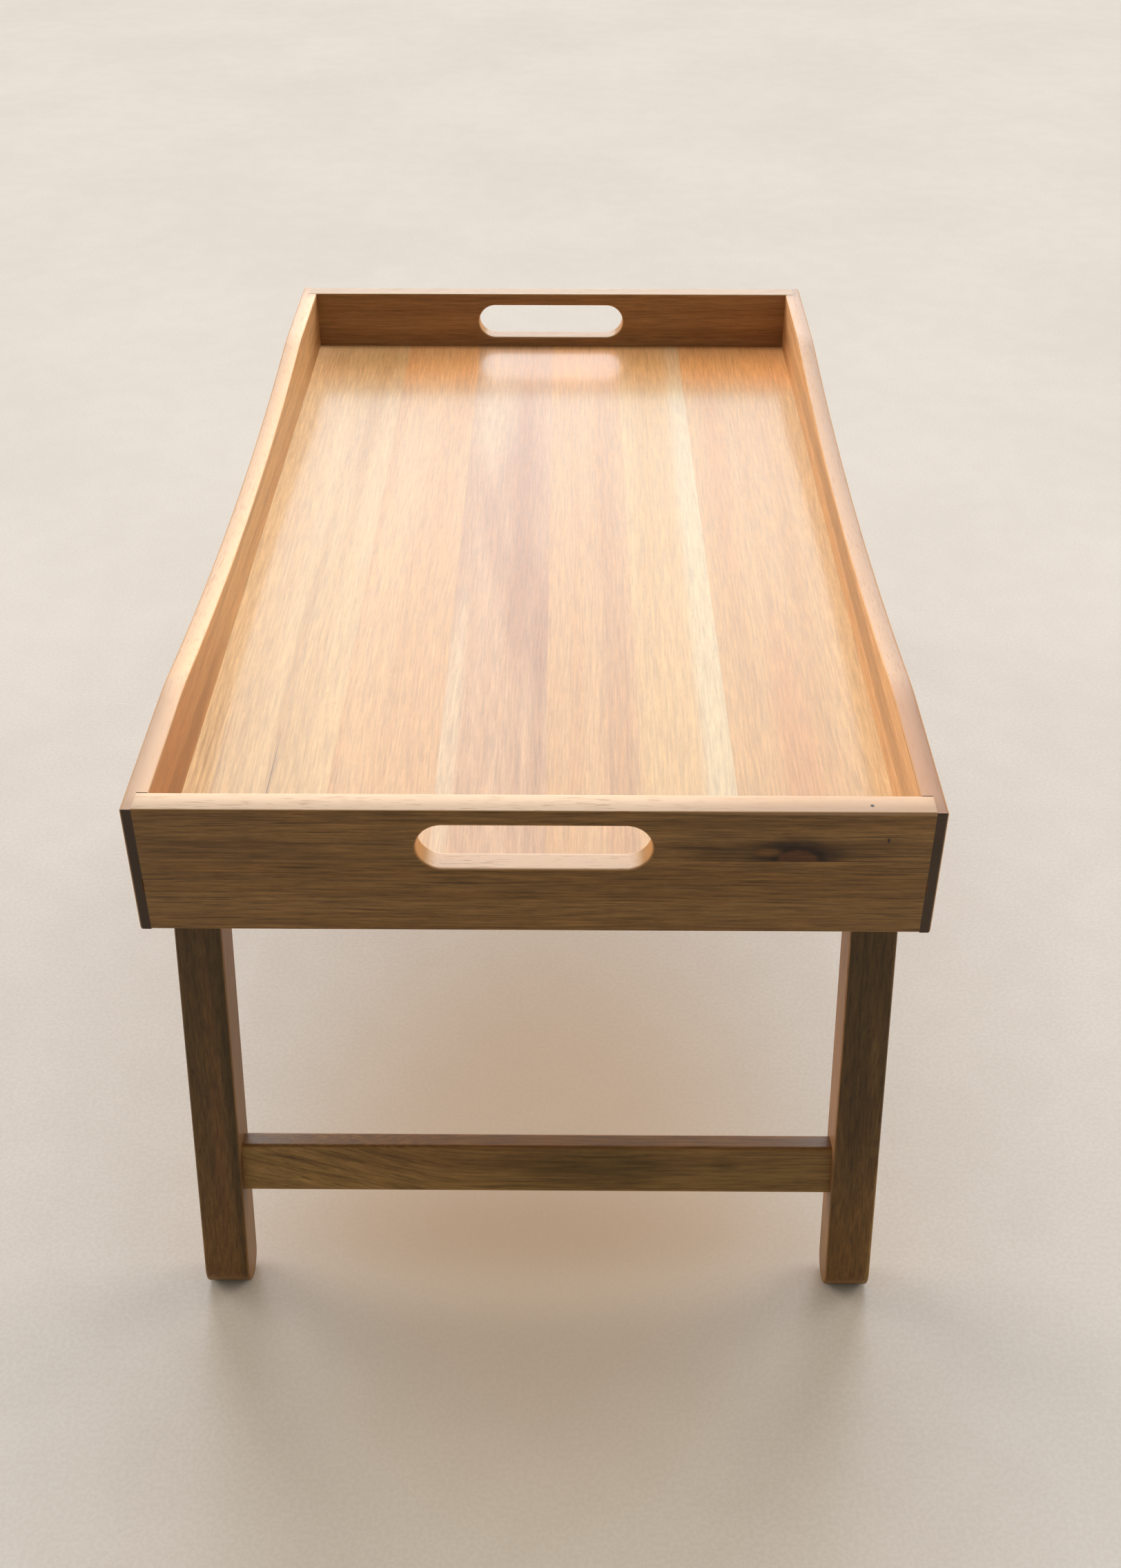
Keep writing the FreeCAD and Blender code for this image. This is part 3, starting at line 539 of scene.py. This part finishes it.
def paint_far_wall_shade(wood, number):
    """Painted shade and reflection of the far wall on a stave: amber where the floor mirrors the wall,
    umber painted shade at the wall's foot.
    """
    # Painted shade and reflection of the far wall, about 84 mm out from it.
    wood.patch(PAINTED_FAR_SHADE_AND_REFLECTION, STAVE_FAR_SHADE_AND_REFLECTION[number], (0, 304, 0), (THROUGH, 84, THROUGH),
               softness=0.3, ruffle=0.1)
    # Painted shade right at the far wall's foot.
    wood.patch(UMBER, STAVE_WALL_FOOT_SHADE[number], (0, 300, 0), (THROUGH, 26, THROUGH),
               softness=0.9, ruffle=0.1)


for number, tones in STAVE_TONES.items():
    wood = Timber(f"stave_{number}", ALONG_Y, (number * 137.0, number * 911.0, number * 59.0),
                  tones + (PORE,), heart=(-30 + 17 * number, 0, -60 - 8 * number),
                  line_share=STAVE_LINES[number])
    if number in STAVE_FIGURES:
        STAVE_FIGURES[number](wood)
    # Painted shade and reflection of the far wall.
    paint_far_wall_shade(wood, number)
    dress(wood.finish(), f"floor_stave_{number}")

# ----------------------------------------------------------- tray's walls

LEFT_SIDE = (srgb(215, 175, 128), srgb(204, 161, 116), srgb(172, 125, 82), PORE)
RIGHT_SIDE = (srgb(234, 190, 144), srgb(226, 180, 134), srgb(190, 141, 96), PORE)
NEAR_END = (srgb(150, 115, 70), srgb(136, 101, 57), srgb(102, 73, 41), srgb(58, 40, 26))
FAR_END = (srgb(172, 136, 98), srgb(158, 122, 86), srgb(124, 90, 60), srgb(78, 52, 32))
WALL_HEART = (90, 0, 20)
# Tones for the boards' upward faces: their own colour with painted light and shade, apart from the
# sides as light falls on them.
LEFT_RIM = srgb(202, 164, 124)
RIGHT_RIM = srgb(158, 124, 93)
NEAR_RIM = srgb(202, 175, 147)
FAR_RIM = srgb(188, 158, 120)
HOLE_SILL = srgb(228, 200, 174)
HOLE_END = srgb(196, 146, 92)
CHESTNUT = srgb(172, 112, 66)
FLAX = srgb(150, 106, 56)
KNOT_CORE = srgb(98, 62, 36)
KNOT_BARK = srgb(46, 30, 20)
PIN_KNOT = srgb(30, 30, 34)
MID_WALL = (TRAY_FLOOR_Z + RIM_Z) / 2 / MM
RIM = RIM_Z / MM
GLUE_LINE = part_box("near_end_lower_strip")[1].z / MM


def left_wall():
    """Gold-brown board with darker lengthwise lines, chestnut towards its near end."""
    wood = Timber("left_side_board", ALONG_Y, (500, 70, 40), LEFT_SIDE, heart=WALL_HEART,
                  line_share=0.14, ring_share=0.2)
    wood.patch(SMOKE, 0.3, (-160, -60, MID_WALL + 6), (THROUGH, 260, 2.2), softness=0.6, ruffle=0.5)
    wood.patch(SMOKE, 0.25, (-160, 60, MID_WALL - 8), (THROUGH, 240, 1.6), softness=0.6, ruffle=0.5)
    wood.patch(CHESTNUT, 0.75, (-160, -310, MID_WALL), (THROUGH, 150, THROUGH), softness=0.8)
    wood.patch(UMBER, 0.4, (-160, -270, MID_WALL - 10), (THROUGH, 140, 8), softness=0.4, ruffle=0.3)
    browner_rim = (srgb(170, 142, 120), 0.7, (-165, -290, RIM), (THROUGH, 90, 1.2), 0.7)
    return wood.finish(rim=LEFT_RIM, rim_share=0.85, arris_highlight=0.35, coat=0.1, marks=(browner_rim,))


def right_wall():
    """Paler board with one darker band half-way up and a rim that browns towards its near end."""
    wood = Timber("right_side_board", ALONG_Y, (590, 70, 340), RIGHT_SIDE, heart=WALL_HEART,
                  line_share=0.14, ring_share=0.2)
    wood.patch(SMOKE, 0.42, (160, -80, MID_WALL), (THROUGH, 280, 6), softness=0.6, ruffle=0.5)
    wood.patch(BARK, 0.3, (160, -60, MID_WALL - 6), (THROUGH, 230, 0.5), softness=0.5, ruffle=0.3)
    browner_rim = (srgb(148, 104, 72), 0.7, (165, -290, RIM), (THROUGH, 100, 1.2), 0.7)
    return wood.finish(rim=RIGHT_RIM, rim_share=0.85, arris_highlight=0.35, coat=0.1, marks=(browner_rim,))


def near_upper_strip():
    """Brown strip with dark threads, a knot on the glue line, a pin knot and a pinhole in its rim."""
    wood = Timber("near_end_upper_strip", ALONG_X, (300, 0, 40), NEAR_END, heart=WALL_HEART,
                  streak_width=5, line_length=55, line_share=0.6)
    wood.patch(BARK, 0.12, (0, -145, RIM - 14), (THROUGH, 40, 14), softness=0.8)
    wood.patch(BARK, 0.22, (0, 78, RIM - 15), (THROUGH, 26, 12), softness=0.9)
    wood.patch(BARK, 0.25, (0, -125, RIM - 17), (THROUGH, 32, 1.3), softness=0.6, ruffle=0.6)
    wood.patch(BARK, 0.16, (0, -110, RIM - 24), (THROUGH, 70, 2.0), softness=0.6, ruffle=0.6)
    wood.patch(BARK, 0.5, (0, 110, GLUE_LINE + 4), (THROUGH, 32, 7), softness=0.7, ruffle=1.4)
    wood.knot((0, 110, GLUE_LINE + 1), (THROUGH, 10, 6.5), KNOT_CORE, KNOT_BARK, 0.8)
    wood.patch(FLAX, 0.45, (0, 97.5, GLUE_LINE + 4.5), (THROUGH, 5, 1.8), softness=0.6, ruffle=0.5)
    wood.patch(BARK, 0.22, (0, 148, RIM - 15), (THROUGH, 12, 2.4), softness=0.7, ruffle=0.4)
    wood.patch(PIN_KNOT, 0.85, (0, 146.6, RIM - 14.3), (THROUGH, 0.5, 1.2), softness=0.4, ruffle=0.1)
    wood.patch(BARK, 0.8, (0, 118, GLUE_LINE), (THROUGH, 50, 0.35), softness=0.3, ruffle=0.0)
    wood.patch(BARK, 0.35, (0, -100, GLUE_LINE), (THROUGH, 62, 0.35), softness=0.3, ruffle=0.0)
    browner_end = (srgb(184, 150, 120), 0.8, (296, 150, RIM), (THROUGH, 75, 1.2), 0.6)
    pinhole = (srgb(22, 18, 16), 1.0, (296, 139, RIM), (0.85, 0.85, 3), 0.25)
    return wood.finish(rim=NEAR_RIM, rim_share=0.92, arris_highlight=0.25, coat=0.1, pore_share=0.5,
                       fibre_depth=0.85, end_tone=HOLE_END, marks=(browner_end, pinhole))


def near_lower_strip():
    """Brown strip below the glue line."""
    wood = Timber("near_end_lower_strip", ALONG_X, (390, 170, 100), NEAR_END, heart=WALL_HEART,
                  streak_width=6, line_length=60, line_share=0.55)
    wood.patch(BARK, 0.14, (0, 20, GLUE_LINE - 18), (THROUGH, 120, 3), softness=0.6, ruffle=0.6)
    return wood.finish(rim=HOLE_SILL, rim_share=0.92, arris_highlight=0.4, coat=0.1, pore_share=0.5,
                       fibre_depth=0.85, end_tone=HOLE_END)


def far_strip(name, cut):
    """Strip of the far end."""
    wood = Timber(name, ALONG_X, cut, FAR_END, heart=WALL_HEART, streak_width=6, line_length=80,
                  line_share=0.3)
    return wood.finish(rim=FAR_RIM, rim_share=0.9, arris_highlight=0.3, coat=0.1, fibre_depth=0.5,
                       end_tone=HOLE_END)


dress(left_wall(), "left_side_board")
dress(right_wall(), "right_side_board")
dress(near_upper_strip(), "near_end_upper_strip")
dress(near_lower_strip(), "near_end_lower_strip")
dress(far_strip("far_end_upper_strip", (480, 340, 160)), "far_end_upper_strip")
dress(far_strip("far_end_lower_strip", (570, 510, 220)), "far_end_lower_strip")

# ---------------------------------------------------------------- leg frames

LEG = (srgb(113, 86, 50), srgb(98, 73, 40), srgb(75, 55, 32), srgb(44, 32, 21))
REDDISH = srgb(122, 84, 50)
OLIVE_DARK = srgb(72, 56, 26)
TAN = srgb(140, 102, 54)
SAPWOOD = srgb(176, 142, 84)
# Painted light: the lit inner faces of the legs and a thin highlight on the stretcher's back arris.
PAINTED_LIGHT_TONE = srgb(188, 142, 106)
# Painted shade for the stretcher's top face.
PAINTED_RUNG_TOP_SHADE = srgb(116, 82, 48)
STRETCHER = (srgb(174, 139, 86), srgb(161, 127, 76), srgb(120, 90, 52), srgb(58, 42, 27))
DOWEL = (srgb(214, 178, 128), srgb(202, 164, 114), srgb(178, 136, 90), PORE)
DOWEL_END = srgb(160, 124, 82)
FRAME_HEART = (40, 0, 60)
LEG_X = 148
LEG_LENGTH = ((PIVOT_Z - LEG_DEPTH / 2) / math.cos(SPLAY) + LEG_DEPTH) / MM
RUNG_THICKNESS = 12
RUNG_BACK = -rung_high.y / MM
RUNG_BACK_Z = rung_high.z / MM - RUNG_THICKNESS * math.sin(SPLAY)


def leg_wood(name, end, side):
    """Leg, dark at the tray, redder and paler at the foot, with painted light on its inner face, laid
    out from the foot's middle.
    """
    turn = (-math.pi / 2 - end * SPLAY, 0, 0)
    origin = (side * LEG_X, -FOOT_Y * math.sin(SPLAY) / MM, -end * FOOT_Y * math.cos(SPLAY) / MM)
    wood = Timber(name, turn, (90 * side, 300 * end, 70), LEG, origin=origin, heart=FRAME_HEART,
                  streak_width=6, line_length=35, line_share=0.45)
    wood.patch(OLIVE_DARK, 0.45, (0, LEG_LENGTH, 0), (THROUGH, 90, THROUGH), softness=0.7)
    wood.patch(TAN, 0.6, (0, 0, 0), (THROUGH, 55, THROUGH), softness=0.8)
    wood.patch(REDDISH, 0.3, (0, 0, 0), (THROUGH, 10, THROUGH), softness=0.4)
    # Painted light on the leg's lit inner face.
    wood.patch(PAINTED_LIGHT_TONE, 0.75, (-side * 10.8, 190, 0), (0.9, 150, THROUGH), softness=0.3, ruffle=0.0)
    return wood


def left_leg(name, end):
    """Leg with a reddish streak up its middle and a darker right edge."""
    wood = leg_wood(name, end, LEFT)
    wood.patch(REDDISH, 0.45, (1.5, 90, 0), (2.6, 85, THROUGH), softness=0.6, ruffle=0.6)
    wood.patch(OLIVE_DARK, 0.75, (8.6, 110, 0), (2.6, 100, THROUGH), softness=0.6, ruffle=0.5)
    return wood.finish(coat=0.12, arris_highlight=0.16, pore_share=0.45, fibre_depth=0.75)


def right_leg(name, end):
    """Leg with a strip of sapwood that widens towards the foot."""
    wood = leg_wood(name, end, RIGHT)
    wood.patch(OLIVE_DARK, 0.4, (-2, 150, 0), (3.2, 90, THROUGH), softness=0.6, ruffle=0.7)
    wood.patch(SAPWOOD, 0.55, (11.5, -10, 0), (3.2, 110, THROUGH), softness=0.45, lean=0.012)
    return wood.finish(coat=0.12, arris_highlight=0.16, pore_share=0.45, fibre_depth=0.75)


def stretcher(name, end, cut):
    """Stretcher: slanting grain at the left, a reddish and then a dark middle, painted shade on its top
    and a painted highlight on its back arris.
    """
    wood = SlopingTimber(name, ALONG_X, cut, STRETCHER, heart=FRAME_HEART, streak_width=5,
                         line_length=45, line_share=0.5)
    wood.patch(REDDISH, 0.45, (0, -35, 72), (THROUGH, 60, 8), softness=0.7, ruffle=0.5)
    wood.patch(OLIVE_DARK, 0.6, (0, 30, 68), (THROUGH, 45, 12), softness=0.7, ruffle=0.5)
    wood.patch(BARK, 0.3, (0, 88, 68), (THROUGH, 6, 4), softness=0.7, ruffle=0.6)
    wood.patch(REDDISH, 0.3, (0, 95, 74), (THROUGH, 40, 4), softness=0.7, ruffle=0.5)
    for x, z in ((-118, 72), (-104, 69), (-88, 71), (-70, 73), (-96, 62)):
        wood.patch(BARK, 0.4, (0, x, z), (THROUGH, 11, 0.9), softness=0.7, ruffle=0.5, lean=-0.22)
    wood.patch(OLIVE_DARK, 0.3, (0, 118, 66), (THROUGH, 30, 14), softness=0.7, ruffle=0.5)
    # Painted shade on the stretcher's top face, which lies under the tray.
    wood.lay(wood.faces["Upward"], 0.7, PAINTED_RUNG_TOP_SHADE)
    # Painted highlight along the stretcher's back arris.
    back_arris = (-end * RUNG_BACK, 0, RUNG_BACK_Z)
    wood.patch(PAINTED_LIGHT_TONE, 0.8, back_arris, (2.2, THROUGH, 2.2), softness=0.4, ruffle=0.0)
    return wood.finish(coat=0.08, arris_highlight=0.15, pore_share=0.45, fibre_depth=0.75)


for end, end_name in ((NEAR, "near"), (FAR, "far")):
    for side_name, make_leg in (("left", left_leg), ("right", right_leg)):
        leg = f"{end_name}_{side_name}_leg"
        dress(make_leg(leg, end), leg)
    rung = f"{end_name}_stretcher"
    dress(stretcher(rung, end, (10, 60 * end, 700)), rung)
    pegs = f"{end_name}_frame_dowels"
    dowel = Timber(pegs, ALONG_X, (900, 40 * end, 20), DOWEL, streak_width=3)
    dress(dowel.finish(coat=0.0, end_tone=DOWEL_END), pegs)

# ------------------------------------------------------------------ metal


def turned_metal(name, bright, dull, roughness):
    """Turned metal with fine rings and dull smudges."""
    material, tree, shader = new_material(name)
    place = in_millimetres(tree)[0]
    marks = use_group(tree, METAL, Place=place, Pivot=(0, PIVOT_Y / MM, PIVOT_Z / MM))
    wire(tree, tint(tree, marks["Smudges"], bright, dull), shader.inputs["Base Color"])
    shader.inputs["Metallic"].default_value = 1.0
    wire(tree, remap(tree, marks["Rings"], 0.3, 0.7, roughness - 0.06, roughness + 0.1),
         shader.inputs["Roughness"])
    relief = put(tree, "ShaderNodeBump", Strength=0.2, Distance=0.02 * MM, Height=marks["Rings"])
    wire(tree, relief.outputs[0], shader.inputs["Normal"])
    return material


dress(turned_metal("screw_steel", srgb(176, 174, 170), srgb(140, 137, 132), 0.3),
      "pivot_screws", "head_washers", "spacer_washers")
dress(turned_metal("brad_steel", srgb(160, 157, 152), srgb(112, 106, 98), 0.4), "corner_brads")
dress(turned_metal("insert_brass", srgb(206, 168, 96), srgb(160, 122, 66), 0.32), "pivot_inserts")

# ------------------------------------------------------------ wood filler

DOT_RADIUS = 0.66 * MM
DOT_FACE = SIDE_FACE_X - 0.05 * MM
DOT_BACK = SIDE_FACE_X - 0.38 * MM
BRAD_Y = 295 * MM
BRAD_DROPS = (10 * MM, 30 * MM, 50 * MM)


def filler_material():
    """Filler a little darker than the board, smeared along the grain."""
    material, tree, shader = new_material("wood_filler")
    place = in_millimetres(tree)[0]
    smear = remap(tree, noise(tree, place, (0.6, 1.8, 0.4), detail=3.0), 0.35, 0.65)
    wire(tree, tint(tree, smear, srgb(150, 104, 64), srgb(118, 78, 46)), shader.inputs["Base Color"])
    wire(tree, remap(tree, smear, 0, 1, 0.55, 0.75), shader.inputs["Roughness"])
    return material


def wood_filler():
    """Dot of filler over the head of every corner brad."""
    shape = bmesh.new()
    for side in (LEFT, RIGHT):
        middle = side * (DOT_BACK + DOT_FACE) / 2
        for end in (NEAR, FAR):
            for drop in BRAD_DROPS:
                place = Matrix.Translation((middle, end * BRAD_Y, RIM_Z - drop))
                lying = place @ Matrix.Rotation(math.pi / 2, 4, "Y")
                bmesh.ops.create_cone(shape, cap_ends=True, segments=20, radius1=DOT_RADIUS,
                                      radius2=DOT_RADIUS, depth=DOT_FACE - DOT_BACK, matrix=lying)
    mesh = bpy.data.meshes.new("wood_filler")
    shape.to_mesh(mesh)
    shape.free()
    mesh.materials.append(filler_material())
    dots = bpy.data.objects.new("wood_filler", mesh)
    bpy.context.scene.collection.objects.link(dots)
    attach(dots, "tray")


wood_filler()

# ------------------------------------------------------------------ studio

FLOOR_RADIUS = 9
PAINT = ((0.772, 0.765, 0.768, 1), (0.816, 0.809, 0.812, 1))
BLOT = (0.64, 0.61, 0.59, 1)
SPECK = (0.6, 0.57, 0.54, 1)
# Painted warm light bounced off the wood onto the floor under the table.
PAINTED_BOUNCE_LIGHT = (0.82, 0.68, 0.54, 1)
# Painted shadow of the near stretcher on the floor.
PAINTED_RUNG_SHADOW = (0.6, 0.46, 0.32, 1)
BACKDROP = (0.86, 0.83, 0.79, 1)
DAYLIGHT = (0.87, 0.92, 1.0)
LOW_SUN = (1.0, 0.87, 0.74)


def from_oval(tree, place, middle_y, half_width, half_length):
    """How far out a spot on the floor lies from the middle of an oval, 1 at its edge."""
    offset = vector_calc(tree, "SUBTRACT", place, (0, middle_y, 0))
    return reach(tree, vector_calc(tree, "DIVIDE", offset, (half_width, half_length, 100)))


def floor_material():
    """Clouded pale paint, with painted warm bounce light between the near legs and a painted shadow
    under the stretcher.
    """
    material, tree, shader = new_material("studio_floor")
    place = in_millimetres(tree)[0]
    clouds = remap(tree, noise(tree, place, (260, 260, 260), detail=5.0), 0.3, 0.7)
    blots = remap(tree, noise(tree, place, (30, 30, 30), detail=3.0), 0.35, 0.65)
    specks = remap(tree, noise(tree, place, (2.0, 2.0, 2.0), detail=2.0), 0.35, 0.65)
    paint = tint(tree, clouds, *PAINT)
    blotted = tint(tree, calc(tree, "MULTIPLY", blots, 0.1), paint, BLOT)
    speckled = tint(tree, calc(tree, "MULTIPLY", specks, 0.22), blotted, SPECK)
    # Painted warm bounce light between the near legs.
    glow = remap(tree, from_oval(tree, place, -260, 155, 230), 0.3, 1.15, 0.52, 0.0)
    glowing = tint(tree, glow, speckled, PAINTED_BOUNCE_LIGHT)
    # Painted shadow under the near stretcher.
    shade = remap(tree, from_oval(tree, place, -298, 150, 42), 0.1, 1.3, 0.4, 0.0)
    wire(tree, tint(tree, shade, glowing, PAINTED_RUNG_SHADOW), shader.inputs["Base Color"])
    shader.inputs["Roughness"].default_value = 0.55
    shader.inputs["Specular IOR Level"].default_value = 0.0
    return material


def pale_floor():
    """Wide pale studio floor."""
    mesh = bpy.data.meshes.new("studio_floor")
    shape = bmesh.new()
    bmesh.ops.create_circle(shape, cap_ends=True, segments=96, radius=FLOOR_RADIUS)
    shape.to_mesh(mesh)
    shape.free()
    mesh.materials.append(floor_material())
    floor = bpy.data.objects.new("studio_floor", mesh)
    bpy.context.scene.collection.objects.link(floor)


def window_light(name, bearing, height, spread, power, colour):
    """Even light from a far window: its bearing from +Y towards +X, height and spread in degrees."""
    lamp = bpy.data.lights.new(name, "SUN")
    lamp.angle = math.radians(spread)
    lamp.energy = power
    lamp.color = colour
    light = bpy.data.objects.new(name, lamp)
    turn, rise = math.radians(bearing), math.radians(height)
    level = math.cos(rise)
    source = Vector((math.sin(turn) * level, math.cos(turn) * level, math.sin(rise)))
    light.rotation_euler = (-source).to_track_quat("-Z", "Y").to_euler()
    bpy.context.scene.collection.objects.link(light)


def tray_softbox(width, length, middle_y, height, spread, power, colour):
    """Gridded softbox over the tray: it lights the tray and hardly spills on the floor."""
    lamp = bpy.data.lights.new("tray_softbox", "AREA")
    lamp.shape = "RECTANGLE"
    lamp.size, lamp.size_y = width, length
    lamp.spread = math.radians(spread)
    lamp.energy = power
    lamp.color = colour
    light = bpy.data.objects.new("tray_softbox", lamp)
    light.location = (0, middle_y, height)
    bpy.context.scene.collection.objects.link(light)


def room(colour, from_behind, from_front):
    """Light from all round the room, brighter from behind the table, and a pale backdrop."""
    world = bpy.data.worlds.new("room")
    bpy.context.scene.world = world
    world.use_nodes = True
    tree = world.node_tree
    background = tree.nodes["Background"]
    background.inputs["Color"].default_value = colour
    facing = put(tree, "ShaderNodeTexCoord").outputs["Generated"]
    backward = put(tree, "ShaderNodeSeparateXYZ", Vector=facing).outputs["Y"]
    wire(tree, remap(tree, backward, -0.2, 0.5, from_front, from_behind), background.inputs["Strength"])
    backdrop = put(tree, "ShaderNodeBackground", Color=BACKDROP, Strength=1.0)
    seen = tree.nodes.new("ShaderNodeMixShader")
    wire(tree, tree.nodes.new("ShaderNodeLightPath").outputs["Is Camera Ray"], seen.inputs[0])
    wire(tree, background.outputs[0], seen.inputs[1])
    wire(tree, backdrop.outputs[0], seen.inputs[2])
    wire(tree, seen.outputs[0], tree.nodes["World Output"].inputs["Surface"])


def camera(place, down, left, focal_length):
    """The photograph's own viewpoint, past the near end: degrees down, and radians to the left."""
    lens = bpy.data.cameras.new("camera")
    lens.sensor_width = 36
    lens.lens = focal_length
    lens.clip_start, lens.clip_end = 0.05, 40
    eye = bpy.data.objects.new("camera", lens)
    eye.location = place
    eye.rotation_euler = (math.radians(90 - down), 0, left)
    bpy.context.scene.collection.objects.link(eye)
    bpy.context.scene.camera = eye


pale_floor()
room(colour=(1.0, 0.86, 0.65, 1), from_behind=0.8, from_front=0.27)
window_light("back_window", bearing=0, height=24, spread=48, power=2.95, colour=DAYLIGHT)
window_light("left_window", bearing=-62, height=14, spread=36, power=1.6, colour=LOW_SUN)
window_light("right_window", bearing=62, height=14, spread=36, power=1.45, colour=LOW_SUN)
tray_softbox(width=0.332, length=0.580, middle_y=-0.004, height=1.3, spread=0.8, power=0.51,
             colour=(0.94, 0.95, 0.93))
camera(place=(0.0154, -0.8741, 0.6911), down=35.80, left=0.0076, focal_length=40.17)
bpy.context.scene.view_settings.view_transform = "Standard"
